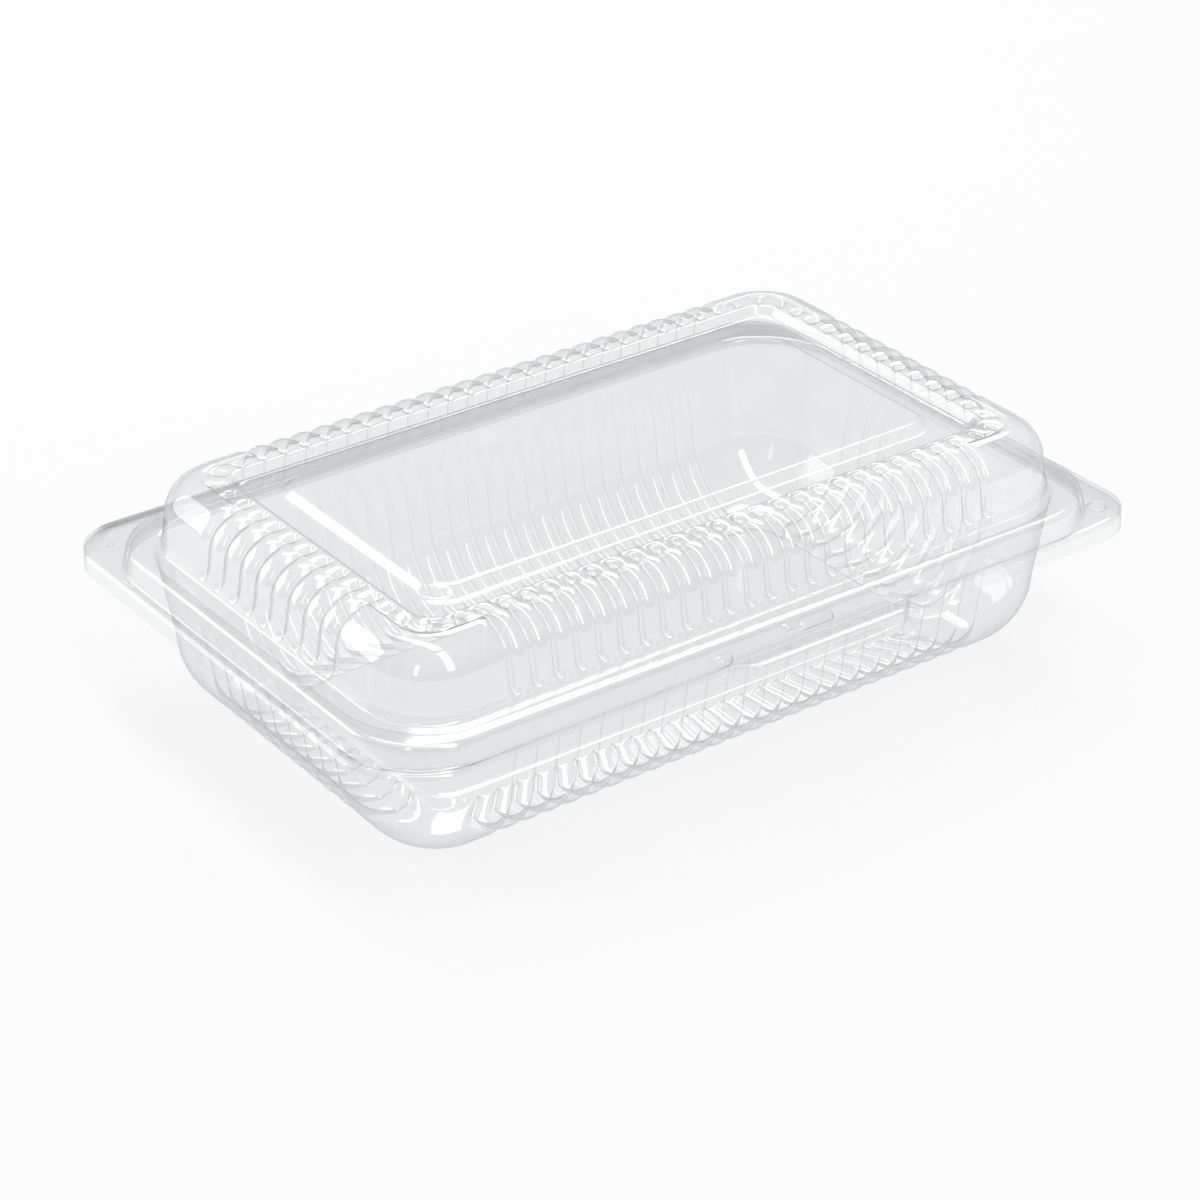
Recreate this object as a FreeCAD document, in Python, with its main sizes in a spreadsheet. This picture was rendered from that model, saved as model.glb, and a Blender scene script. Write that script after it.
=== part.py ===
"""A hinged clear food pack: a fluted tray and a fluted lid, both pressed from thin plastic sheet.

Millimetres. Z is up and the tray's foot rests on z = 0. X runs along the pack, and the hinge is on the +Y side.
Each shell is made from two nested forms, the face of the sheet that is seen and the face behind it.
Both come from the same functions, called once with no offset and once with the sheet's thickness.
"""
import FreeCAD, Part
import math
import os
import Sketcher

DIMENSIONS = {
    # the sheet and the gaps where lid and tray meet
    "sheet": 0.45,
    "rim_gap": 0.3,
    "plate_gap": 0.15,
    "hinge_gap": 0.06,
    # lid: the flat ledge above the flange, and the step that it stands on
    "ledge_z": 35.5,
    "rim_x": 87.4,
    "rim_y": 55.5,
    "rim_corner": 17.0,
    "rim_lean": 1.05,
    # lid: drafted wall, then a rounded shoulder up to the ladder ring
    "dome_x": 81.9,
    "dome_y": 50.2,
    "dome_corner": 15.5,
    "dome_wall": 6.5,
    "dome_lean": 1.1,
    "shoulder": 8.0,
    # lid: the sunk channel inside the ring and the raised panel in the middle
    "ring_x": 67.8,
    "ring_y": 36.0,
    "ring_corner": 4.5,
    "channel_drop": 2.0,
    "panel_x": 59.9,
    "panel_y": 27.7,
    "panel_corner": 5.0,
    "panel_bevel": 1.9,
    "panel_drop": 0.3,
    # flange plates, ears and finger tab
    "flange_z": 30.4,
    "flange_x": 90.3,
    "flange_y": 57.0,
    "flange_corner": 18.0,
    "hinge_y": 64.8,
    "hinge_corner": 9.5,
    "ear_x": 94.9,
    "ear_length": 27.0,
    "ear_ramp": 9.0,
    "ear_corner": 9.0,
    "tab_left": -13.0,
    "tab_right": 31.5,
    "tab_out": 3.6,
    "tab_ramp": 4.5,
    "lip_drop": 3.95,
    "lip_flare": 0.9,
    # tray: drafted wall, large haunch, foot ring and raised floor panel
    "tray_x": 84.3,
    "tray_y": 52.0,
    "tray_corner": 20.5,
    "tray_lean": 3.0,
    "haunch": 16.0,
    "floor_x": 60.2,
    "floor_y": 26.6,
    "floor_corner": 5.0,
    "floor_bevel": 1.4,
    "floor_rise": 1.5,
    "bead_drop": 0.8,
    # flutes: valleys between the rounded crests
    "valley": 1.9,
    "valley_deep": 1.1,
    "pitch_long": 5.0,
    "pitch_short": 5.75,
    "finger_foot": 0.9,
    "tray_finger_top": 28.2,
}
VALLEYS_LONG = 24
VALLEYS_SHORT = 9
FLUTED_SIDES = (
    ("long", "YZ_Plane", FreeCAD.Vector(0, 1, 0), "y", "dims.pitch_long", VALLEYS_LONG),
    ("short", "XZ_Plane", FreeCAD.Vector(1, 0, 0), "x", "dims.pitch_short", VALLEYS_SHORT),
)
ROUND_STEPS = 3

doc = FreeCAD.newDocument("hinged_pack")
dims = doc.addObject("Spreadsheet::Sheet", "dims")
for row, (alias, value) in enumerate(DIMENSIONS.items(), start=1):
    dims.set("A%d" % row, alias)
    dims.set("B%d" % row, str(value))
    dims.setAlias("B%d" % row, alias)
doc.recompute()


def new_body(name):
    return doc.addObject("PartDesign::Body", name)


def origin_plane(body, role):
    """One of the body's own origin planes, such as XY_Plane."""
    return next(item for item in body.Origin.OriginFeatures if item.Role == role)


def new_sketch(body, name, role, height):
    """An empty sketch on an origin plane, lifted along the plane's normal."""
    sketch = body.newObject("Sketcher::SketchObject", name)
    sketch.AttachmentSupport = [(origin_plane(body, role), "")]
    sketch.MapMode = "FlatFace"
    sketch.setExpression("AttachmentOffset.Base.z", height)
    return sketch


def number(expression):
    """The value that a bound size has now, for a sketch's first drawing."""
    return float(dims.evalExpression(expression.replace("dims.", "")))


def polygon(body, name, corners, role, height):
    """A closed outline with every corner held by two sizes from the sheet."""
    sketch = new_sketch(body, name, role, height)
    drawn = [FreeCAD.Vector(number(across), number(along), 0) for across, along in corners]
    count = len(corners)
    for index in range(count):
        sketch.addGeometry(Part.LineSegment(drawn[index], drawn[(index + 1) % count]), False)
    for index in range(count):
        after = (index + 1) % count
        sketch.addConstraint(Sketcher.Constraint("Coincident", index, 2, after, 1))
    for index, (across, along) in enumerate(corners):
        kinds = (("DistanceX", across, drawn[index].x), ("DistanceY", along, drawn[index].y))
        for kind, size, now in kinds:
            rule = Sketcher.Constraint(kind, -1, 1, index, 1, now)
            held = sketch.addConstraint(rule)
            sketch.setExpression("Constraints[%d]" % held, size)
    return sketch


def rounded_rectangle(body, name, half_x, half_y, corner, height):
    """A centred rectangle with four equal round corners."""
    sketch = new_sketch(body, name, "XY_Plane", height)
    wide, deep, radius = number(half_x), number(half_y), number(corner)
    in_x, in_y = wide - radius, deep - radius
    vector = FreeCAD.Vector
    quarter = 90.0
    starts = [(in_x, -in_y, 270.0), (in_x, in_y, 0.0), (-in_x, in_y, 90.0), (-in_x, -in_y, 180.0)]
    lines = [
        (vector(-in_x, -deep, 0), vector(in_x, -deep, 0)),
        (vector(wide, -in_y, 0), vector(wide, in_y, 0)),
        (vector(in_x, deep, 0), vector(-in_x, deep, 0)),
        (vector(-wide, in_y, 0), vector(-wide, -in_y, 0)),
    ]
    for (start, end), (centre_x, centre_y, angle) in zip(lines, starts):
        sketch.addGeometry(Part.LineSegment(start, end), False)
        circle = Part.Circle(vector(centre_x, centre_y, 0), vector(0, 0, 1), radius)
        first = FreeCAD.Units.Quantity(angle, "deg").getValueAs("rad").Value
        last = FreeCAD.Units.Quantity(angle + quarter, "deg").getValueAs("rad").Value
        sketch.addGeometry(Part.ArcOfCircle(circle, first, last), False)
    for index in range(8):
        sketch.addConstraint(Sketcher.Constraint("Tangent", index, 2, (index + 1) % 8, 1))
    for index, kind in ((0, "Horizontal"), (2, "Vertical"), (4, "Horizontal"), (6, "Vertical")):
        sketch.addConstraint(Sketcher.Constraint(kind, index))
    for index in (3, 5, 7):
        sketch.addConstraint(Sketcher.Constraint("Equal", 1, index))
    sketch.addConstraint(Sketcher.Constraint("Symmetric", 1, 3, 5, 3, -1, 1))
    sizes = (("Radius", corner, (1,)), ("DistanceX", half_x, (-1, 1, 2, 1)),
             ("DistanceY", half_y, (-1, 1, 4, 1)))
    for kind, size, where in sizes:
        index = sketch.addConstraint(Sketcher.Constraint(kind, *where, number(size)))
        sketch.setExpression("Constraints[%d]" % index, size)
    return sketch


def loft(body, name, sections, cutting=False):
    """A solid ruled straight from each outline to the next, added to the body or cut from it."""
    kind = "PartDesign::SubtractiveLoft" if cutting else "PartDesign::AdditiveLoft"
    feature = body.newObject(kind, name)
    feature.Profile = sections[0]
    feature.Sections = sections[1:]
    feature.Ruled = True
    feature.Closed = False
    doc.recompute()
    return feature


def stack(body, name, levels, cutting=False):
    """A loft through centred rounded rectangles, given as (half x, half y, corner, height)."""
    sections = []
    for index, level in enumerate(levels):
        sections.append(rounded_rectangle(body, "%s_level_%d" % (name, index), *level))
    return loft(body, name, sections, cutting)


def boolean(kind, name, first, second):
    """One solid from two, as a cut or a fuse."""
    result = doc.addObject(kind, name)
    result.Base = first
    result.Tool = second
    result.Refine = False
    doc.recompute()
    return result


def comb(name, profile, role, pitch, count):
    """A row of equal teeth along one side, each the space of one valley."""
    body = new_body(name)
    body.AllowCompound = True
    sketch = polygon(body, name + "_outline", profile, role, "-%s * %g" % (pitch, (count - 1) / 2))
    tooth = body.newObject("PartDesign::Pad", name + "_tooth")
    tooth.Profile = sketch
    tooth.Midplane = True
    tooth.setExpression("Length", "dims.valley")
    doc.recompute()
    row = body.newObject("PartDesign::LinearPattern", name + "_row")
    row.Originals = [tooth]
    row.Direction = (sketch, ["N_Axis"])
    row.Occurrences = count
    row.setExpression("Length", "%s * %d" % (pitch, count - 1))
    row.Refine = False
    body.Tip = row
    doc.recompute()
    return body


def mirrored(name, source, normal):
    """The same thing on the opposite side of the pack."""
    other = doc.addObject("Part::Mirroring", name)
    other.Source = source
    other.Base = FreeCAD.Vector(0, 0, 0)
    other.Normal = normal
    return other


def fluted(name, plain, rows):
    """A form with a row of valleys cut into each of its four sides."""
    teeth = []
    for side, role, normal, profile, pitch, count in rows:
        near = comb("%s_%s" % (name, side), profile, role, pitch, count)
        teeth += [near, mirrored("%s_%s_far" % (name, side), near, normal)]
    together = doc.addObject("Part::Compound", name + "_teeth")
    together.Links = teeth
    return boolean("Part::Cut", name, plain, together)


def quarter_round(centre, centre_z, radius, upward):
    """Points from a wall round to a flat, as (across, height) expressions."""
    sign = "+" if upward else "-"
    points = []
    for step in range(ROUND_STEPS + 1):
        angle = 90.0 * step / ROUND_STEPS
        across = "%s + (%s) * cos(%g deg)" % (centre, radius, angle)
        height = "%s %s (%s) * sin(%g deg)" % (centre_z, sign, radius, angle)
        points.append((across, height))
    return points


def round_levels(half, lean, radius, behind, centre_z, upward):
    """Centred rounded rectangles up or down a quarter round, for a stack.

    half names the wall's sizes in the sheet, and behind is how far the form lies inside it.
    """
    sizes = []
    for side in ("x", "y", "corner"):
        centre = "dims.%s_%s - %s - %s" % (half, side, lean, radius)
        sizes.append(quarter_round(centre, centre_z, "%s - (%s)" % (radius, behind), upward))
    return [(x[0], y[0], corner[0], x[1]) for x, y, corner in zip(*sizes)]


def dome_form(name, behind, skin, low):
    """The lid's dome: wall, shoulder, ring, sunk channel and raised panel.

    behind is how far the form lies inside the wall, and skin how far it lies under the panel.
    """
    body = new_body(name)
    start = "dims.ledge_z + dims.dome_wall"
    foot = tuple("dims.dome_%s - (%s)" % (side, behind) for side in ("x", "y", "corner"))
    levels = [foot + (low,)]
    levels += round_levels("dome", "dims.dome_lean", "dims.shoulder", behind, start, True)
    stack(body, name + "_dome", levels)
    top = "%s + dims.shoulder" % start
    channel = "%s - dims.channel_drop - %s" % (top, skin)
    edges = []
    for grow, height in (("0.4", "%s + 1" % top), ("-0.8", channel)):
        ring = tuple("dims.ring_%s + %s + %s" % (side, grow, skin) for side in ("x", "y", "corner"))
        edges.append(ring + (height,))
    stack(body, name + "_channel", edges, cutting=True)
    edges = []
    for grow, height in (("dims.panel_bevel + 0.3", "%s - 0.3" % channel),
                         ("0", "%s - dims.panel_drop - %s" % (top, skin))):
        panel = tuple("dims.panel_%s + %s - %s" % (side, grow, skin) for side in ("x", "y", "corner"))
        edges.append(panel + (height,))
    stack(body, name + "_panel", edges)
    return body


def lid_valleys():
    """Valleys of the lid: up the wall and over the shoulder, running out on the ring."""
    start = "dims.ledge_z + dims.dome_wall"
    above = "%s + dims.shoulder + 0.1" % start
    foot_z = "dims.ledge_z + dims.finger_foot"
    rows = []
    for side, role, normal, axis, pitch, count in FLUTED_SIDES:
        wall, ring = "dims.dome_%s" % axis, "dims.ring_%s + 0.6" % axis
        centre = "%s - dims.dome_lean - dims.shoulder" % wall
        bed = quarter_round(centre, start, "dims.shoulder - dims.valley_deep", True)
        profile = [("%s - dims.valley_deep * 0.5" % wall, foot_z)] + bed
        profile += [(ring, above), (wall + " + 3", above), (wall + " + 3", foot_z)]
        rows.append((side, role, normal, profile, pitch, count))
    return rows


def tub_form(name, behind, skin, above):
    """The tray's tub: wall, haunch, foot ring and raised floor panel."""
    body = new_body(name)
    top = "dims.ledge_z - dims.bead_drop + %s" % above
    brim = tuple("dims.tray_%s - (%s)" % (side, behind) for side in ("x", "y", "corner"))
    levels = [brim + (top,)]
    levels += round_levels("tray", "dims.tray_lean", "dims.haunch", behind, "dims.haunch", False)
    stack(body, name + "_tub", levels)
    edges = []
    for grow, height in (("dims.floor_bevel + 1", "-1"), ("0", "dims.floor_rise + %s" % skin)):
        panel = tuple("dims.floor_%s + %s + %s" % (side, grow, skin) for side in ("x", "y", "corner"))
        edges.append(panel + (height,))
    stack(body, name + "_floor", edges, cutting=True)
    return body


def tray_valleys():
    """Valleys of the tray: down the wall and round the haunch, running out on the foot ring."""
    rows = []
    for side, role, normal, axis, pitch, count in FLUTED_SIDES:
        wall, ring = "dims.tray_%s" % axis, "dims.floor_%s + dims.floor_bevel + 0.3" % axis
        centre = "%s - dims.tray_lean - dims.haunch" % wall
        bed = quarter_round(centre, "dims.haunch", "dims.haunch - dims.valley_deep", False)
        head = "%s - dims.tray_lean * 0.35 - dims.valley_deep" % wall
        profile = [(head, "dims.tray_finger_top")] + bed
        profile += [(ring, "-0.1"), (wall + " + 3", "-0.1"), (wall + " + 3", "dims.tray_finger_top")]
        rows.append((side, role, normal, profile, pitch, count))
    return rows


def flange_outline(grow):
    """Corners of the flange with its ear, as (x, y, radius), grown outward by an expression."""
    left, right = "-(dims.flange_x + %s)" % grow, "dims.flange_x + %s" % grow
    front = "-(dims.flange_y + %s)" % grow
    tip = "dims.ear_x + %s" % grow
    back = "dims.hinge_y - dims.hinge_gap"
    bend = "dims.ear_corner * 0.7"
    return [
        (left, front, "dims.flange_corner"),
        (tip, front, "dims.ear_corner"),
        (tip, "dims.ear_length - dims.flange_y", bend),
        (right, "dims.ear_length + dims.ear_ramp - dims.flange_y", bend),
        (right, back, "dims.hinge_corner"),
        (left, back, "dims.hinge_corner"),
    ]


def rounded_outline(body, name, corners, height):
    """A closed outline whose corners, given as (x, y, radius), are rounded in the sketch."""
    sketch = new_sketch(body, name, "XY_Plane", height)
    points = [FreeCAD.Vector(number(x), number(y), 0) for x, y, _ in corners]
    count = len(corners)
    arcs = []
    for index, (_, _, radius) in enumerate(corners):
        into = (points[index - 1] - points[index]).normalize()
        out = (points[(index + 1) % count] - points[index]).normalize()
        half_angle = into.getAngle(out) / 2
        middle = (into + out).normalize()
        reach = number(radius)
        along = reach / math.tan(half_angle)
        centre = points[index] + middle * (reach / math.sin(half_angle))
        nearest = centre - middle * reach
        arcs.append((points[index] + into * along, nearest, points[index] + out * along))
    for index in range(count):
        sketch.addGeometry(Part.LineSegment(points[index], points[(index + 1) % count]), True)
    for index in range(count):
        sketch.addConstraint(Sketcher.Constraint("Coincident", index, 2, (index + 1) % count, 1))
        fixed = (("DistanceX", corners[index][0], points[index].x),
                 ("DistanceY", corners[index][1], points[index].y))
        for kind, size, now in fixed:
            held = sketch.addConstraint(Sketcher.Constraint(kind, -1, 1, index, 1, now))
            sketch.setExpression("Constraints[%d]" % held, size)
    for index in range(count):
        after = (index + 1) % count
        side = sketch.addGeometry(Part.LineSegment(arcs[index][2], arcs[after][0]), False)
        for end in (1, 2):
            sketch.addConstraint(Sketcher.Constraint("PointOnObject", side, end, index))
    for index, arc in enumerate(arcs):
        turn = sketch.addGeometry(Part.Arc(*arc), False)
        before = count + (index - 1) % count
        for line, line_end in ((before, 2), (count + index, 1)):
            start = sketch.getPoint(turn, 1)
            arc_end = 1 if start.distanceToPoint(sketch.getPoint(line, line_end)) < 1e-6 else 2
            sketch.addConstraint(Sketcher.Constraint("Tangent", line, line_end, turn, arc_end))
        held = sketch.addConstraint(Sketcher.Constraint("Radius", turn, number(corners[index][2])))
        sketch.setExpression("Constraints[%d]" % held, corners[index][2])
    return sketch


def flange_slab(name, levels):
    """A slab with the flange's outline, given as (growth, height) from one level to the next."""
    body = new_body(name)
    sections = []
    for index, (grow, height) in enumerate(levels):
        sections.append(rounded_outline(body, "%s_level_%d" % (name, index), flange_outline(grow), height))
    loft(body, name + "_slab", sections)
    return body


def rim_stack(body, name, offset, low, high):
    """The step under the ledge, leaning inward from the flange up to the ledge."""
    stack(body, name, [
        ("dims.rim_x + dims.rim_lean - (%s)" % offset, "dims.rim_y + dims.rim_lean - (%s)" % offset,
         "dims.rim_corner + dims.rim_lean - (%s)" % offset, low),
        ("dims.rim_x - (%s)" % offset, "dims.rim_y - (%s)" % offset,
         "dims.rim_corner - (%s)" % offset, high),
    ])


def block(body, name, outline, low, height):
    """A straight-sided block with a plain outline, standing on a given height."""
    sketch = polygon(body, name + "_outline", outline, "XY_Plane", low)
    pad = body.newObject("PartDesign::Pad", name)
    pad.Profile = sketch
    pad.setExpression("Length", height)
    doc.recompute()
    return pad


def tab_outline(inset, back):
    """The finger tab's outline, in front of the flange."""
    front = "-dims.flange_y - dims.tab_out + %s" % inset
    return [
        ("dims.tab_left + %s" % inset, back),
        ("dims.tab_left + dims.tab_ramp + %s" % inset, front),
        ("dims.tab_right - dims.tab_ramp - %s" % inset, front),
        ("dims.tab_right - %s" % inset, back),
    ]


# lid: flange plate with its finger tab, then the rim step and the dome on it
lid_plate = flange_slab("lid_plate", [("0", "dims.flange_z"), ("0", "dims.flange_z + dims.sheet")])
lid_tab = new_body("lid_tab")
block(lid_tab, "tab_block", tab_outline("0", "2 - dims.flange_y"), "dims.flange_z - dims.lip_drop",
      "dims.lip_drop + dims.sheet")
tab_hollow = new_body("tab_hollow")
block(tab_hollow, "hollow_block", tab_outline("dims.sheet", "3 - dims.flange_y"),
      "dims.flange_z - dims.lip_drop - 1", "dims.lip_drop + 1")
tab_clear = new_body("tab_clear")
clear_front = "-dims.flange_y - dims.lip_flare - 0.5"
block(tab_clear, "clear_block",
      [("dims.tab_left - 2", clear_front), ("dims.tab_right + 2", clear_front),
       ("dims.tab_right + 2", "4 - dims.flange_y"), ("dims.tab_left - 2", "4 - dims.flange_y")],
      "dims.flange_z - dims.lip_drop - 1", "dims.lip_drop + 1")
tab_space = boolean("Part::Fuse", "tab_space", tab_hollow, tab_clear)
tab_shell = boolean("Part::Cut", "tab_shell", lid_tab, tab_space)
lid_sheet = boolean("Part::Fuse", "lid_sheet", lid_plate, tab_shell)
lid_rim = new_body("lid_rim")
rim_stack(lid_rim, "lid_rim_step", "0", "dims.flange_z", "dims.ledge_z")
lid_under = new_body("lid_under")
rim_stack(lid_under, "lid_under_step", "dims.sheet", "dims.flange_z - 0.01", "dims.ledge_z - dims.sheet")
dome_hole = new_body("dome_hole")
hole_x, hole_y, hole_corner = ["dims.dome_%s - dims.sheet" % side for side in ("x", "y", "corner")]
stack(dome_hole, "dome_hole_block", [(hole_x, hole_y, hole_corner, "dims.ledge_z - 2"),
                                     (hole_x, hole_y, hole_corner, "dims.ledge_z + 2")])
lid_step = boolean("Part::Fuse", "lid_step", lid_sheet, lid_rim)
lid_open = boolean("Part::Fuse", "lid_open", lid_under, dome_hole)
lid_flange = boolean("Part::Cut", "lid_flange", lid_step, lid_open)
BEHIND = "dims.valley_deep + dims.sheet * 0.7"
dome_plain = dome_form("dome_plain", "0", "0", "dims.ledge_z - dims.sheet")
lid_outside = fluted("lid_outside", dome_plain, lid_valleys())
lid_inside = dome_form("lid_inside", BEHIND, "dims.sheet", "dims.ledge_z - 1")
lid_dome = boolean("Part::Cut", "lid_dome", lid_outside, lid_inside)
lid = boolean("Part::Fuse", "lid", lid_flange, lid_dome)

# tray: flange with its turned-down lip and raised bead, hollow beneath, then the tub through it
flange_top = "dims.flange_z - dims.plate_gap"
flange_low = "%s - dims.lip_drop" % flange_top
bead_top = "dims.ledge_z - dims.bead_drop"
bead_in = "dims.sheet + dims.rim_gap"
tray_cap = flange_slab("tray_cap", [("dims.lip_flare", flange_low), ("0", flange_top)])
tray_bead = new_body("tray_bead")
rim_stack(tray_bead, "tray_bead_step", bead_in, flange_top, bead_top)
cap_hollow = flange_slab("cap_hollow", [
    ("dims.lip_flare - dims.sheet", "%s - 0.01" % flange_low),
    ("-dims.sheet", "%s - dims.sheet" % flange_top),
])
bead_hollow = new_body("bead_hollow")
rim_stack(bead_hollow, "bead_hollow_step", "%s + dims.sheet" % bead_in,
          "%s - 1" % flange_top, "%s - dims.sheet" % bead_top)
back_clear = new_body("back_clear")
block(back_clear, "back_block",
      [("-dims.flange_x + dims.hinge_corner", "dims.hinge_y - 4"),
       ("dims.flange_x - dims.hinge_corner", "dims.hinge_y - 4"),
       ("dims.flange_x - dims.hinge_corner", "dims.hinge_y + 2"),
       ("-dims.flange_x + dims.hinge_corner", "dims.hinge_y + 2")],
      "%s - 1" % flange_low, "dims.lip_drop + 1 - dims.sheet")
tray_hole = new_body("tray_hole")
hole_x, hole_y, hole_corner = ["dims.tray_%s - dims.sheet" % side for side in ("x", "y", "corner")]
stack(tray_hole, "tray_hole_block", [(hole_x, hole_y, hole_corner, "dims.ledge_z - 8"),
                                     (hole_x, hole_y, hole_corner, "dims.ledge_z + 2")])
cap_full = boolean("Part::Fuse", "cap_full", tray_cap, tray_bead)
cap_space = boolean("Part::Fuse", "cap_space", cap_hollow, bead_hollow)
cap_open = boolean("Part::Fuse", "cap_open", cap_space, back_clear)
cap_clear = boolean("Part::Fuse", "cap_clear", cap_open, tray_hole)
cap_shell = boolean("Part::Cut", "cap_shell", cap_full, cap_clear)
tub_plain = tub_form("tub_plain", "0", "0", "0")
tray_outside = fluted("tray_outside", tub_plain, tray_valleys())
tray_inside = tub_form("tray_inside", BEHIND, "dims.sheet", "1")
tray_tub = boolean("Part::Cut", "tray_tub", tray_outside, tray_inside)
tray = boolean("Part::Fuse", "tray", cap_shell, tray_tub)

# the middle of the pack's footprint comes to x = 0 and y = 0
for node in (lid, tray):
    node.setExpression("Placement.Base.x", "-(dims.ear_x - dims.flange_x) / 2")
    node.setExpression("Placement.Base.y", "-(dims.hinge_y - dims.flange_y - dims.tab_out) / 2")
lid.Label = "lid"
tray.Label = "tray"
doc.recompute()

failed = [item.Name for item in doc.Objects if {"Invalid", "Error"} & set(item.State)]
if failed:
    raise RuntimeError("these objects failed: %s" % failed)
for node in (lid, tray):
    if node.Shape.isNull() or not node.Shape.isValid():
        raise RuntimeError("the shape of %s is not valid" % node.Label)

os.makedirs("parts", exist_ok=True)
for node in (lid, tray):
    node.Shape.exportStep("parts/%s.step" % node.Label)
    box = node.Shape.BoundBox
    print(node.Label, len(node.Shape.Solids), "solid", len(node.Shape.Faces), "faces",
          "volume %.1f" % node.Shape.Volume, "box", box)
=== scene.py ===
"""A closed clear food pack on a white table, seen from its front left corner and above.

Both shells are pressed from thin sheet, so each is one skin with no thickness, on the sheet's outer face.
A skin is a grid: its rows go round the pack, from the cut edge in to the middle of the panel.
Sizes are in millimetres from the middle of the flange, with Z up, until a mesh is made from them.
"""
import math

import bpy
import numpy as np
from mathutils import Matrix, Vector


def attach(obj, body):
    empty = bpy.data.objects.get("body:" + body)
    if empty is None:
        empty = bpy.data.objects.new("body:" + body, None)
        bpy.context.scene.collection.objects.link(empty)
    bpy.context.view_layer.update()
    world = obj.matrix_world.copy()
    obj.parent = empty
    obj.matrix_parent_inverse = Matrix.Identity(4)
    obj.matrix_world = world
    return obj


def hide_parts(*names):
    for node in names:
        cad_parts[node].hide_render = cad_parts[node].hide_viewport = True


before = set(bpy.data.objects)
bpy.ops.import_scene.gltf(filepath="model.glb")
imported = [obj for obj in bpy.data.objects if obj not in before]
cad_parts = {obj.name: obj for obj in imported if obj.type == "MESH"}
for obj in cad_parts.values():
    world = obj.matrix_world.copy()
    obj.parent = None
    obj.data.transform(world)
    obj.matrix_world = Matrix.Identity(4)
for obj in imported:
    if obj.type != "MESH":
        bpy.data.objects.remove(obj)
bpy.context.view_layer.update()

MM = 0.001
# where the flange's middle lies in the shared frame
FLANGE_MIDDLE = (-2.3, -2.1, 0.0)

# heights of the lid
LID_PLATE_Z = 30.85
LEDGE_Z = 35.5
LID_WALL_TOP_Z = 42.0
LID_TOP_Z = 50.0
CHANNEL_Z = 48.0
PANEL_Z = 49.7

# heights of the tray
TRAY_PLATE_Z = 30.2
BEAD_Z = 34.7
TRAY_WALL_FOOT_Z = 16.0
FLOOR_Z = 2.2

# the flange's cut edge: how thick it looks, and how far the lip hangs and leans out
EDGE = 0.4
LIP_DROP = 3.6
LIP_FLARE = 0.1

# the flange's outline: its sides, its corners, and the ear at the front right
FLANGE_FRONT = -57.0
FLANGE_BACK = 64.74
FLANGE_SIDE = 90.3
FRONT_CORNER = 18.0
BACK_CORNER = 11.5
EAR_TIP = 93.6
EAR_CORNER = 10.0
EAR_BEND = 6.3
EAR_ENDS_Y = -30.0
EAR_MEETS_SIDE_Y = -21.0

# the finger tab on the lid's front edge
TAB_LEFT = -13.0
TAB_RIGHT = 31.5
TAB_SLANT = 4.5
TAB_PROUD = 3.6
TAB_BEND = 2.0

# snap marks beside the tab: middle x, middle z, half length, half height, and how far they stand out
SNAP_MARKS = (
    (8.3, 33.2, 4.2, 0.9, 1.3),
    (-14.1, 32.2, 1.9, 1.1, 1.3),
    (2.3, 34.0, 1.9, 0.8, 0.9),
    (15.7, 28.4, 6.0, 0.9, 1.0),
)

# sizes of the cross-section's main levels: half the length, half the width and the corner's radius
LID_STEP_BASE = (88.45, 56.55, 18.05)
LID_WALL_FOOT = (81.9, 50.2, 15.5)
LID_WALL_HEAD = (80.8, 49.1, 14.4)
RING_MIDDLE = (70.5, 38.7, 6.2)
TRAY_BEAD_BASE = (87.7, 55.8, 17.3)
TRAY_WALL_HEAD = (84.3, 52.0, 20.5)
TRAY_WALL_FOOT = (81.3, 49.0, 17.5)

# radii of the lid's shoulder and of the tray's haunch, and how many steps each quarter circle has
SHOULDER = 8.0
SHOULDER_STEPS = 18
HAUNCH = 16.0
HAUNCH_STEPS = 22

# flutes: how far apart the valleys are, how many there are, and how deep
PITCH_LONG = 5.0
PITCH_SHORT = 5.75
COUNT_LONG = 24
COUNT_SHORT = 9
VALLEY_DEEP = 1.8
GROOVE_HALF = 0.2
# the ladder ring: how deep its notches are at the corners, their number, and the dip past the last flute
RING_DEEP = 1.1
CORNER_CELLS = 5
CREASE_DEEP = 0.5

# how finely the grid is cut
STEPS_PER_PITCH = 12
STEPS_TO_CORNER = 14
CORNER_STEPS = 32
# the most of a straight side that the flutes may take up
FLUTED_SHARE = 0.97

# the sheet: what it lets through face on and edge on, how much it mirrors, and how milky it is
SHEET_TINT = (0.965, 0.968, 0.97)
EDGE_TINT = (0.40, 0.41, 0.42)
GLOSS_TINT = (0.97, 0.98, 1.0)
MIRROR_FACE_ON = 0.15
MIRROR_EDGE_ON = 0.6
HAZE = 0.06

# the table's size and drop in metres, and the share of plain white that the camera and the sheets see
TABLE_REACH = 6.0
TABLE_DROP = 0.0003
TABLE_WHITE = 0.7
# the world's strength as light, and as the sheets mirror it, level and overhead
WORLD_LIGHT = 0.51
WORLD_MIRRORED = (0.5, 0.8)

# the camera's angles in degrees, its place in metres, and its lens
CAMERA_TURN = -35.63
CAMERA_RISE = 29.44
CAMERA_ROLL = -0.52
CAMERA_PLACE = (-0.3809, -0.5268, 0.3803)
CAMERA_LENS = 108.63


def smooth_step(value):
    """A soft ramp from 0 to 1."""
    value = np.clip(value, 0.0, 1.0)
    return value * value * (3.0 - 2.0 * value)


def valley_depth(away):
    """How deep a flute's cross-section is, from 1 in a valley to 0 on the crest or beyond.

    Half of the depth is a narrow groove, and half is the roundness of the crests.
    """
    away = np.clip(away, 0.0, 1.0)
    groove = np.exp(-((away / GROOVE_HALF) ** 2))
    roundness = (1.0 - away) ** 2
    return (groove + roundness) / 2


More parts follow.
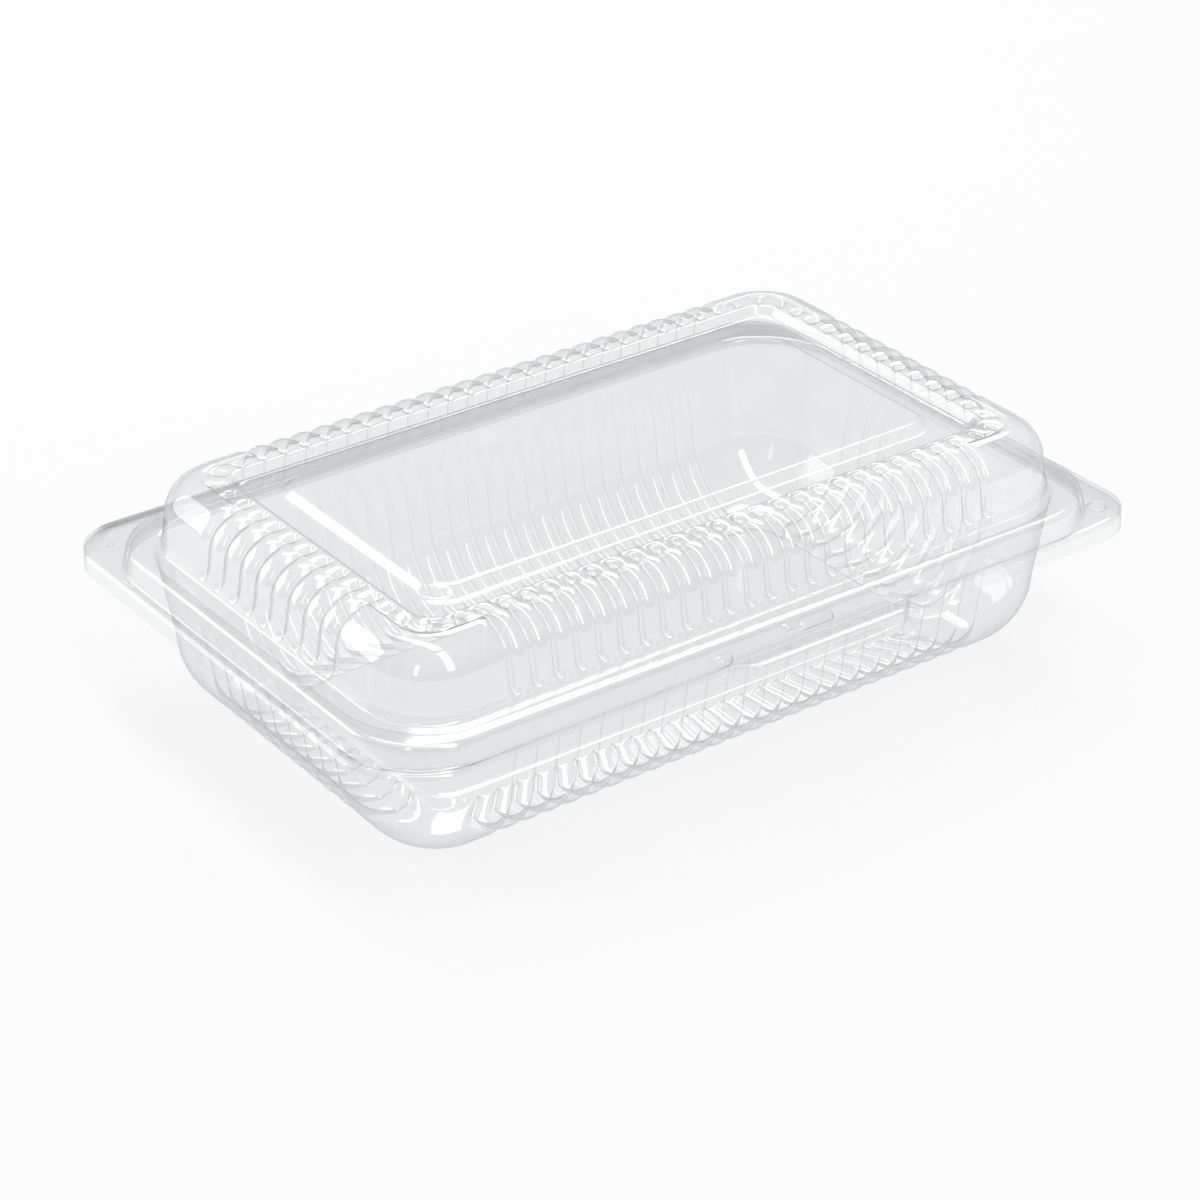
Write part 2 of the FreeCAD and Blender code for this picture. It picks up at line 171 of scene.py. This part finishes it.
def valley_distance(along, pitch, count):
    """Distance from the nearest valley's middle, where 1 is half a pitch."""
    last = (count - 1) / 2
    nearest = np.clip(np.round(along / pitch - last % 1) + last % 1, -last, last)
    return np.abs(along / pitch - nearest) * 2


def side_columns(side):
    """Columns of one side and of the corner after it.

    Each is its side, how far along the flutes it is, its share of the way on to the corner, and its share
    of the turn round the corner, where how far along is None.
    """
    pitch, count = (PITCH_LONG, COUNT_LONG) if side % 2 == 0 else (PITCH_SHORT, COUNT_SHORT)
    reach = pitch * count / 2
    beyond = [(step + 1) / (STEPS_TO_CORNER + 1) for step in range(STEPS_TO_CORNER)]
    fluted = np.linspace(-reach, reach, count * STEPS_PER_PITCH + 1)
    columns = [(side, -reach, -part, 0.0) for part in reversed(beyond)]
    columns += [(side, along, 0.0, 0.0) for along in fluted]
    columns += [(side, reach, part, 0.0) for part in beyond]
    columns += [(side, None, 0.0, step / CORNER_STEPS) for step in range(CORNER_STEPS + 1)]
    return columns


class Round:
    """The columns of a grid that goes once round the pack, anticlockwise from the front left.

    Sides 0 to 3 are the front, the right, the back and the left.
    """

    def __init__(self):
        columns = [column for side in range(4) for column in side_columns(side)]
        self.side = np.array([column[0] for column in columns])
        self.is_corner = np.array([column[1] is None for column in columns])
        self.along = np.array([column[1] or 0.0 for column in columns])
        self.beyond = np.array([column[2] for column in columns])
        turn = np.array([column[3] for column in columns])
        angle = np.radians((self.side - 1) * 90.0 + turn * 90.0)
        self.normal = np.stack([np.cos(angle), np.sin(angle)], axis=1)
        self.long_side = self.side % 2 == 0
        pitch = np.where(self.long_side, PITCH_LONG, PITCH_SHORT)
        count = np.where(self.long_side, COUNT_LONG, COUNT_SHORT)
        self.reach = pitch * count / 2
        last_valley = pitch * (count - 1) / 2
        self.past_last = self.is_corner | (np.abs(self.along) + np.abs(self.beyond) > last_valley + 0.01)
        self.away = valley_distance(self.along + self.beyond * pitch, pitch, count)
        self.away[self.is_corner] = 1.0
        self.cell_away = self.ring_cells()

    def ring_cells(self):
        """Distance from the ladder ring's nearest notch where it goes round a corner, 1 on the sides."""
        ring = self.points(*RING_MIDDLE)
        run = np.concatenate([[0.0], np.cumsum(np.linalg.norm(np.diff(ring, axis=0), axis=1))])
        whole = run[-1] + np.linalg.norm(ring[0] - ring[-1])
        away = np.ones(len(run))
        fluted = np.flatnonzero(~self.past_last)
        for before, after in zip(fluted, np.append(fluted[1:], fluted[0] + len(run))):
            if after - before < 3:
                continue
            columns = np.arange(before, after + 1)
            reach = run[columns % len(run)] + np.where(columns >= len(run), whole, 0.0)
            cell = (reach - reach[0]) / (reach[-1] - reach[0]) * CORNER_CELLS
            inside = (cell > 0.5) & (cell < CORNER_CELLS - 0.5)
            away[columns % len(run)] = np.where(inside, np.abs(cell - np.round(cell)) * 2, 1.0)
        return away

    def points(self, half_x, half_y, corner):
        """Where the columns meet a rounded rectangle."""
        straight = np.where(self.long_side, half_x, half_y) - corner
        kept = np.minimum(self.reach, straight * FLUTED_SHARE)
        along = self.along / self.reach * kept + self.beyond * (straight - kept)
        out = np.where(self.long_side, half_y, half_x)
        angle = (self.side - 1) * math.pi / 2
        cos, sin = np.cos(angle), np.sin(angle)
        on_side = np.stack([out * cos - along * sin, out * sin + along * cos], axis=1)
        turn_x = np.where((self.side == 0) | (self.side == 1), 1.0, -1.0)
        turn_y = np.where((self.side == 1) | (self.side == 2), 1.0, -1.0)
        centre = np.stack([turn_x * (half_x - corner), turn_y * (half_y - corner)], axis=1)
        on_corner = centre + self.normal * corner
        return np.where(self.is_corner[:, None], on_corner, on_side)


AROUND = Round()
ON_FRONT = (AROUND.side == 0) & ~AROUND.is_corner


class Level:
    """One place on a shell's cross-section: a rounded rectangle, its height, and how deep flutes are there.

    cells and crease say how much of the ladder ring's notches and of its dip at the corners is there.
    The bend at the level is rounded by its blend, and the span that ends at it is cut in parts.
    """

    def __init__(self, size, height, flute=0.0, cells=0.0, crease=0.0, blend=0.0, parts=1):
        self.values = np.array([*size, height, flute, cells, crease], float)
        self.blend = blend
        self.parts = parts


def inset(size, distance):
    """A rounded rectangle that lies evenly inside another."""
    return tuple(part - distance for part in size)


def quarter(size, radius, centre_z, upward, steps, flutes):
    """Levels round a quarter circle, from a wall of this size in to a flat, one for each entry in flutes."""
    levels = []
    for step, flute in enumerate(flutes, 1):
        angle = math.pi / 2 * step / steps
        inward = radius * (1.0 - math.cos(angle))
        height = centre_z + upward * radius * math.sin(angle)
        levels.append(Level(inset(size, inward), height, flute))
    return levels


def run_length(span):
    """Length of a span of the cross-section, from how far in it goes and how far up."""
    return np.hypot(span[0], span[3])


def section(levels):
    """Every row of a cross-section."""
    rows = [levels[0].values]
    for before, here, after in zip(levels, levels[1:], levels[2:] + [None]):
        start, end = rows[-1], here.values
        span = end - before.values
        length = run_length(span)
        cut = min(here.blend, length * 0.45) if after is not None else 0.0
        stop = end - span * (cut / length)
        for part in range(1, here.parts + 1):
            rows.append(start + (stop - start) * part / here.parts)
        if cut:
            following = after.values - end
            next_length = run_length(following)
            leave = end + following * (min(cut, next_length * 0.45) / next_length)
            for share in (0.33, 0.67, 1.0):
                rows.append((1 - share) ** 2 * stop + 2 * share * (1 - share) * end + share ** 2 * leave)
    return np.array(rows)


def at_height(flat, height):
    """Flat points lifted to one height, or each to its own."""
    return np.column_stack([flat, np.broadcast_to(height, len(flat))])


def grid_rows(rows, face):
    """Points of every row, with the flutes pressed in.

    face is 1 where the outside is above, and -1 where it is below.
    """
    slope = np.gradient(rows[:, [0, 3]], axis=0)
    length = np.maximum(np.hypot(slope[:, 0], slope[:, 1]), 1e-9)
    out = face * slope[:, 1] / length
    up = -face * slope[:, 0] / length
    flute = valley_depth(AROUND.away) * VALLEY_DEEP
    cells = valley_depth(AROUND.cell_away) * RING_DEEP
    crease = AROUND.past_last * CREASE_DEEP
    points = []
    for row, row_out, row_up in zip(rows, out, up):
        flat = AROUND.points(row[0], row[1], row[2])
        deep = row[4] * flute + row[5] * cells + row[6] * crease
        flat = flat - AROUND.normal * (deep * row_out)[:, None]
        points.append(at_height(flat, row[3] - deep * row_up))
    return points


def rounded_path(corners, steps=10):
    """A closed line round corners given as (x, y, radius)."""
    line = []
    for index, (x, y, radius) in enumerate(corners):
        here = np.array([x, y], float)
        into = np.array(corners[index - 1][:2], float) - here
        out = np.array(corners[(index + 1) % len(corners)][:2], float) - here
        into, out = into / np.linalg.norm(into), out / np.linalg.norm(out)
        half = math.acos(np.clip(into @ out, -1, 1)) / 2
        middle = (into + out) / np.linalg.norm(into + out)
        centre = here + middle * radius / math.sin(half)
        first = here + into * radius / math.tan(half)
        last = here + out * radius / math.tan(half)
        for step in range(steps + 1):
            between = (first - centre) * (1 - step / steps) + (last - centre) * step / steps
            line.append(centre + between / np.linalg.norm(between) * radius)
    return np.array(line)


def flange_path(grow, with_tab):
    """The flange's outline, with the ear at the front right, and on the lid the finger tab."""
    front = FLANGE_FRONT - grow
    right = FLANGE_SIDE + grow
    tip = EAR_TIP + grow
    corners = [(-right, front, FRONT_CORNER)]
    if with_tab:
        corners += [
            (TAB_LEFT, front, TAB_BEND),
            (TAB_LEFT + TAB_SLANT, front - TAB_PROUD, TAB_BEND),
            (TAB_RIGHT - TAB_SLANT, front - TAB_PROUD, TAB_BEND),
            (TAB_RIGHT, front, TAB_BEND),
        ]
    corners += [
        (tip, front, EAR_CORNER),
        (tip, EAR_ENDS_Y, EAR_BEND),
        (right, EAR_MEETS_SIDE_Y, EAR_BEND),
        (right, FLANGE_BACK, BACK_CORNER),
        (-right, FLANGE_BACK, BACK_CORNER),
    ]
    return rounded_path(corners)


def cast_out(base, path):
    """Where each column's line outward from its base point meets a closed path."""
    start, end = path, np.roll(path, -1, axis=0)
    edge = end - start
    found = np.empty_like(base)
    for index, (point, outward) in enumerate(zip(base, AROUND.normal)):
        across = outward[0] * edge[:, 1] - outward[1] * edge[:, 0]
        across = np.where(np.abs(across) < 1e-12, 1e-12, across)
        gap = start - point
        far = (gap[:, 0] * edge[:, 1] - gap[:, 1] * edge[:, 0]) / across
        share = (gap[:, 0] * outward[1] - gap[:, 1] * outward[0]) / across
        hits = far[(far > -0.5) & (share >= -1e-6) & (share <= 1 + 1e-6)]
        found[index] = point + outward * (hits.min() if len(hits) else 0.0)
    return found


def plate_rows(base, rim, height):
    """The flange's flat plate, from its rim in towards its base line."""
    return [at_height(base + (rim - base) * share, height) for share in (1.0, 0.66, 0.33)]


def closure_bump(x, z):
    """How far the snap marks stand out."""
    bump = np.zeros_like(x)
    for middle_x, middle_z, half_long, half_high, proud in SNAP_MARKS:
        off_x = np.maximum(np.abs(x - middle_x) - (half_long - half_high), 0.0)
        off = (off_x ** 2 + (z - middle_z) ** 2) / half_high ** 2
        bump += proud * np.sqrt(np.clip(1.0 - off, 0.0, 1.0))
    return bump


def lid_levels():
    """The lid's cross-section: plate, step, ledge, wall, shoulder, ladder ring, channel and panel."""
    step = [
        Level(inset(LID_STEP_BASE, -0.55), LID_PLATE_Z),
        Level(LID_STEP_BASE, LID_PLATE_Z, blend=0.5),
        Level(inset(LID_STEP_BASE, 1.05), LEDGE_Z, blend=0.9, parts=12),
    ]
    wall = [
        Level(LID_WALL_FOOT, LEDGE_Z, blend=0.7, parts=2),
        Level(inset(LID_WALL_FOOT, 0.2), LEDGE_Z + 1.1),
        Level(inset(LID_WALL_FOOT, 0.4), LEDGE_Z + 2.5, flute=1.0, parts=5),
        Level(LID_WALL_HEAD, LID_WALL_TOP_Z, flute=1.0, parts=4),
    ]
    # the flutes grow shallow in the shoulder's last steps, which draws the ring's outer line
    flutes = [1.0] * (SHOULDER_STEPS - 3) + [0.9, 0.7, 0.45]
    shoulder = quarter(LID_WALL_HEAD, SHOULDER, LID_WALL_TOP_Z, 1.0, SHOULDER_STEPS, flutes)
    ring = [
        Level((72.6, 40.9, 6.6), LID_TOP_Z, flute=0.4, crease=1.0),
        Level((72.0, 40.3, 6.6), LID_TOP_Z, flute=0.5, cells=0.8),
        Level((71.4, 39.6, 6.5), LID_TOP_Z, flute=0.8, cells=1.0),
        Level((69.6, 37.8, 5.6), LID_TOP_Z, flute=0.6, cells=1.0, parts=4),
        Level((68.9, 37.1, 5.2), LID_TOP_Z, parts=2),
        Level((68.2, 36.4, 4.9), LID_TOP_Z, blend=0.5),
    ]
    channel = [
        Level((67.0, 35.2, 3.9), CHANNEL_Z, blend=0.5, parts=2),
        Level((61.8, 29.6, 6.6), CHANNEL_Z, blend=0.5, parts=2),
    ]
    panel = [
        Level((59.9, 27.7, 5.0), PANEL_Z, blend=0.4, parts=2),
        Level((58.0, 25.8, 4.5), PANEL_Z),
    ]
    return step + wall + shoulder + ring + channel + panel


def lid_rows():
    """The lid: cut edge with the tab's hanging lip, plate, and the rest of its cross-section."""
    base = AROUND.points(*LID_STEP_BASE)
    outline = cast_out(base, flange_path(0.0, True))
    x = outline[:, 0]
    # the lip hangs down along the tab, and the snap marks are pressed into it
    on_tab = smooth_step((x - TAB_LEFT + 0.4) / 1.2) * smooth_step((TAB_RIGHT + 0.4 - x) / 1.2) * ON_FRONT
    drop = EDGE + (LIP_DROP - EDGE) * on_tab
    lip = []
    for share in np.linspace(1.0, 0.0, 7):
        height = LID_PLATE_Z - 0.15 - drop * share
        pushed = outline + AROUND.normal * (closure_bump(x, height) * on_tab)[:, None]
        lip.append(at_height(pushed, height))
    plate = plate_rows(base, cast_out(base, flange_path(-0.35, True)), LID_PLATE_Z)
    shell = grid_rows(section(lid_levels()), 1)
    for row in shell:
        on_step = ON_FRONT & (row[:, 2] > LID_PLATE_Z + 0.2) & (row[:, 2] < LEDGE_Z - 0.05)
        row[:, 1] -= closure_bump(row[:, 0], row[:, 2]) * on_step
    return lip + plate + shell


def tray_levels():
    """The tray's cross-section: plate, bead, wall, haunch, foot ring and raised floor."""
    bead = [
        Level(inset(TRAY_BEAD_BASE, -0.5), TRAY_PLATE_Z),
        Level(TRAY_BEAD_BASE, TRAY_PLATE_Z, blend=0.4),
        Level(inset(TRAY_BEAD_BASE, 1.05), BEAD_Z, blend=0.7, parts=3),
    ]
    wall = [
        Level(TRAY_WALL_HEAD, BEAD_Z, blend=0.6, parts=2),
        Level(inset(TRAY_WALL_HEAD, 1.0), BEAD_Z - 6.3, parts=3),
        Level(inset(TRAY_WALL_HEAD, 1.3), BEAD_Z - 8.3, flute=0.3, parts=4),
        Level(TRAY_WALL_FOOT, TRAY_WALL_FOOT_Z, flute=0.5, parts=5),
    ]
    # the flutes reach their full depth in 8 steps, and the foot begins 4 steps before the quarter ends
    flutes = [0.5 + 0.5 * min(1.0, step / 8) for step in range(HAUNCH_STEPS - 4)]
    haunch = quarter(TRAY_WALL_FOOT, HAUNCH, TRAY_WALL_FOOT_Z, -1.0, HAUNCH_STEPS, flutes)
    foot = [
        Level((67.4, 35.1, 3.6), 0.1, flute=1.0, parts=2),
        Level((62.4, 28.9, 5.4), 1.1, flute=1.0, crease=-1.6, parts=4),
        Level((61.4, 27.9, 5.4), 1.3, crease=-1.6, parts=3, blend=0.3),
    ]
    floor = [
        Level((60.2, 26.6, 5.0), FLOOR_Z, blend=0.4, parts=2),
        Level((58.4, 24.8, 4.5), FLOOR_Z),
    ]
    return bead + wall + haunch + foot + floor


def tray_rows():
    """The tray: hanging lip, plate, and the rest of its cross-section."""
    base = AROUND.points(*TRAY_BEAD_BASE)
    outline = cast_out(base, flange_path(-0.1, False))
    low_outline = cast_out(base, flange_path(LIP_FLARE, False))
    # along the fold at the back there is no lip
    on_fold = (outline[:, 1] > 64.0) * smooth_step((82.0 - np.abs(outline[:, 0])) / 2.5)
    drop = EDGE + (LIP_DROP - 0.3 - EDGE) * (1.0 - on_fold)
    lip = []
    for share in (1.0, 0.75, 0.5, 0.25, 0.0):
        flat = outline + (low_outline - outline) * share
        lip.append(at_height(flat, TRAY_PLATE_Z - 0.3 - drop * share))
    plate = plate_rows(base, cast_out(base, flange_path(-0.6, False)), TRAY_PLATE_Z)
    return lip + plate + grid_rows(section(tray_levels()), -1)


def make_object(name, points, faces):
    """A mesh object from millimetre points."""
    mesh = bpy.data.meshes.new(name)
    placed = (np.asarray(points) + np.array(FLANGE_MIDDLE)) * MM
    mesh.from_pydata(placed.tolist(), [], faces)
    mesh.validate()
    mesh.polygons.foreach_set("use_smooth", [True] * len(mesh.polygons))
    made = bpy.data.objects.new(name, mesh)
    bpy.context.scene.collection.objects.link(made)
    return made


def skin(name, rows, extra=()):
    """A grid through closed rows, its last row filled in, with small loose forms joined to it."""
    count = len(rows[0])
    points = np.concatenate(rows)
    faces = []
    for row in range(len(rows) - 1):
        low, high = row * count, (row + 1) * count
        for column in range(count):
            after = (column + 1) % count
            faces.append((low + column, low + after, high + after, high + column))
    centre = len(points)
    points = np.vstack([points, rows[-1].mean(axis=0)])
    last = (len(rows) - 1) * count
    faces += [(last + column, last + (column + 1) % count, centre) for column in range(count)]
    for more_points, more_faces in extra:
        base = len(points)
        points = np.vstack([points, more_points])
        faces += [tuple(base + index for index in face) for face in more_faces]
    return make_object(name, points, faces)


def pressed_ring(x, y, z, radius, thick):
    """A small round bead pressed into a plate."""
    steps, sides = 28, 8
    points, faces = [], []
    for step in range(steps):
        turn = 2 * math.pi * step / steps
        for side in range(sides):
            roll = 2 * math.pi * side / sides
            reach = radius + thick * math.cos(roll)
            height = z + thick * math.sin(roll)
            points.append((x + reach * math.cos(turn), y + reach * math.sin(turn), height))
            here, there = step * sides, (step + 1) % steps * sides
            after = (side + 1) % sides
            faces.append((here + side, there + side, there + after, here + after))
    return points, faces


def add_node(tree, kind, links=(), **settings):
    """A shader node with its settings, and links or values for its sockets."""
    node = tree.nodes.new(kind)
    for name, value in settings.items():
        setattr(node, name, value)
    for socket, source in dict(links).items():
        if hasattr(source, "is_linked"):
            tree.links.new(source, node.inputs[socket])
        else:
            node.inputs[socket].default_value = source
    return node


def add_colour_mix(tree, factor, first, second):
    """A mix of two colours, where the first may be another node's output."""
    mix = add_node(tree, "ShaderNodeMix", {"Factor": factor}, data_type="RGBA")
    if hasattr(first, "is_linked"):
        tree.links.new(first, mix.inputs["A"])
    else:
        mix.inputs["A"].default_value = (*first, 1.0)
    mix.inputs["B"].default_value = (*second, 1.0)
    return mix.outputs["Result"]


def new_material(name):
    """A material with an empty node tree."""
    material = bpy.data.materials.new(name)
    material.use_nodes = True
    material.node_tree.nodes.clear()
    return material, material.node_tree


def clear_sheet(name, seed):
    """Thin clear sheet: what is behind it shows through, and it mirrors more the more it is seen on edge."""
    material, tree = new_material(name)
    place = add_node(tree, "ShaderNodeTexCoord")
    shift = add_node(tree, "ShaderNodeMapping", {"Vector": place.outputs["Object"],
                                                 "Location": (seed, seed * 0.7, 0.0)})
    wide = add_node(tree, "ShaderNodeTexNoise", {"Vector": shift.outputs[0], "Scale": 22.0, "Detail": 0.0})
    fine = add_node(tree, "ShaderNodeTexNoise", {"Vector": shift.outputs[0], "Scale": 140.0, "Detail": 0.0})
    ripple = add_node(tree, "ShaderNodeBump", {"Height": wide.outputs["Fac"], "Strength": 0.3,
                                               "Distance": 0.0006})
    facing = add_node(tree, "ShaderNodeLayerWeight", {"Blend": 0.5, "Normal": ripple.outputs[0]})
    steep = add_node(tree, "ShaderNodeMath", {0: facing.outputs["Facing"], 1: 4.5}, operation="POWER")
    slant = add_node(tree, "ShaderNodeMath", {0: facing.outputs["Facing"], 1: 5.0}, operation="POWER")
    mirror = add_node(tree, "ShaderNodeMapRange", {"Value": steep.outputs[0], "To Min": MIRROR_FACE_ON,
                                                   "To Max": MIRROR_EDGE_ON})
    rough = add_node(tree, "ShaderNodeMapRange", {"Value": fine.outputs["Fac"], "To Min": 0.03,
                                                  "To Max": 0.10})
    darker = [part * 0.975 for part in SHEET_TINT]
    tint = add_colour_mix(tree, wide.outputs["Fac"], darker, SHEET_TINT)
    edge_tint = add_colour_mix(tree, slant.outputs[0], tint, EDGE_TINT)
    through = add_node(tree, "ShaderNodeBsdfTransparent", {"Color": edge_tint})
    haze = add_node(tree, "ShaderNodeBsdfDiffuse", {"Color": tint})
    gloss = add_node(tree, "ShaderNodeBsdfAnisotropic", {"Roughness": rough.outputs[0],
                                                         "Normal": ripple.outputs[0],
                                                         "Color": (*GLOSS_TINT, 1.0)})
    body = add_node(tree, "ShaderNodeMixShader", {0: HAZE, 1: through.outputs[0], 2: haze.outputs[0]})
    both = add_node(tree, "ShaderNodeMixShader", {0: mirror.outputs[0], 1: body.outputs[0],
                                                  2: gloss.outputs[0]})
    add_node(tree, "ShaderNodeOutputMaterial", {"Surface": both.outputs[0]})
    return material


def table_material():
    """A white table that shows almost white to the camera and keeps the pack's shadow."""
    material, tree = new_material("table")
    place = add_node(tree, "ShaderNodeTexCoord")
    grain = add_node(tree, "ShaderNodeTexNoise", {"Vector": place.outputs["Object"], "Scale": 9.0})
    tint = add_colour_mix(tree, grain.outputs["Fac"], (0.90, 0.90, 0.90), (0.91, 0.91, 0.91))
    matt = add_node(tree, "ShaderNodeBsdfDiffuse", {"Color": tint})
    white = add_node(tree, "ShaderNodeEmission", {"Color": (1.0, 1.0, 1.0, 1.0), "Strength": 1.0})
    ray = add_node(tree, "ShaderNodeLightPath")
    either = add_node(tree, "ShaderNodeMath", {0: ray.outputs["Is Camera Ray"],
                                               1: ray.outputs["Is Glossy Ray"]}, operation="MAXIMUM")
    seen = add_node(tree, "ShaderNodeMath", {0: either.outputs[0], 1: TABLE_WHITE}, operation="MULTIPLY")
    both = add_node(tree, "ShaderNodeMixShader", {0: seen.outputs[0], 1: matt.outputs[0],
                                                  2: white.outputs[0]})
    add_node(tree, "ShaderNodeOutputMaterial", {"Surface": both.outputs[0]})
    return material


def add_table():
    """A wide flat table, just under the pack."""
    mesh = bpy.data.meshes.new("table")
    reach = TABLE_REACH
    mesh.from_pydata([(-reach, -reach, 0), (reach, -reach, 0), (reach, reach, 0), (-reach, reach, 0)],
                     [], [(0, 1, 2, 3)])
    table = bpy.data.objects.new("table", mesh)
    table.location.z = -TABLE_DROP
    bpy.context.scene.collection.objects.link(table)
    mesh.materials.append(table_material())
    return table


def add_softbox(name, where, size, watts):
    """A rectangular lamp that faces the pack."""
    lamp = bpy.data.lights.new(name, "AREA")
    lamp.shape = "RECTANGLE"
    lamp.size, lamp.size_y = size
    lamp.energy = watts
    box = bpy.data.objects.new(name, lamp)
    box.location = where
    aim = Vector((0.0, 0.0, 0.03)) - box.location
    box.rotation_euler = aim.to_track_quat("-Z", "Y").to_euler()
    bpy.context.scene.collection.objects.link(box)
    return box


def make_world():
    """Even white light. What the sheets mirror is grey low down and lighter overhead."""
    world = bpy.data.worlds.new("studio")
    bpy.context.scene.world = world
    world.use_nodes = True
    tree = world.node_tree
    tree.nodes.clear()
    place = add_node(tree, "ShaderNodeTexCoord")
    split = add_node(tree, "ShaderNodeSeparateXYZ", {0: place.outputs["Generated"]})
    level, overhead = WORLD_MIRRORED
    mirrored = add_node(tree, "ShaderNodeMapRange", {"Value": split.outputs["Z"], "From Min": 0.0,
                                                     "From Max": 0.9, "To Min": level, "To Max": overhead})
    ray = add_node(tree, "ShaderNodeLightPath")
    strength = add_node(tree, "ShaderNodeMix", {0: ray.outputs["Is Glossy Ray"], 2: WORLD_LIGHT,
                                                3: mirrored.outputs[0]}, data_type="FLOAT")
    light = add_node(tree, "ShaderNodeBackground", {"Color": (1.0, 1.0, 1.0, 1.0),
                                                    "Strength": strength.outputs[0]})
    add_node(tree, "ShaderNodeOutputWorld", {"Surface": light.outputs[0]})


def add_camera():
    """The photograph's view: from the front left, above the table, through a long lens."""
    turn, rise, roll = math.radians(CAMERA_TURN), math.radians(CAMERA_RISE), math.radians(CAMERA_ROLL)
    back = Vector((math.sin(turn) * math.cos(rise), -math.cos(turn) * math.cos(rise), math.sin(rise)))
    level = Vector((math.cos(turn), math.sin(turn), 0.0))
    above = back.cross(level)
    right = level * math.cos(roll) + above * math.sin(roll)
    up = above * math.cos(roll) - level * math.sin(roll)
    camera = bpy.data.objects.new("camera", bpy.data.cameras.new("camera"))
    camera.data.lens = CAMERA_LENS
    camera.data.sensor_width = 36.0
    axes = Matrix((right, up, back)).transposed()
    camera.matrix_world = Matrix.Translation(CAMERA_PLACE) @ axes.to_4x4()
    bpy.context.scene.collection.objects.link(camera)
    bpy.context.scene.camera = camera


# a bead on the ear, and a smaller one at the back left
lid = skin("lid_skin", lid_rows(), [
    pressed_ring(86.7, -50.8, LID_PLATE_Z, 1.9, 0.25),
    pressed_ring(-84.0, 56.2, LID_PLATE_Z, 0.6, 0.2),
])
tray = skin("tray_skin", tray_rows())
for shell, body, seed in ((lid, "lid", 0.0), (tray, "tray", 4.0)):
    shell.data.materials.append(clear_sheet("%s_sheet" % body, seed))
    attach(shell, body)
    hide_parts(body)

# the lamps stand where the photograph's highlights call for them; the strips draw the streaks on the flutes
add_table()
add_softbox("softbox_left", (-0.72, 0.84, 0.45), (0.8, 0.75), 3.4)
add_softbox("strip_over", (0.0, 0.20, 1.05), (0.16, 0.9), 1.8)
add_softbox("strip_front", (-0.05, -0.66, 0.72), (0.16, 0.9), 2.2)
add_softbox("softbox_back", (0.56, 0.56, 0.78), (0.5, 0.3), 2.4)
add_softbox("softbox_camera", (-0.78, -0.55, 0.50), (0.10, 0.5), 0.3)
make_world()
add_camera()
bpy.context.scene.view_settings.view_transform = "Standard"
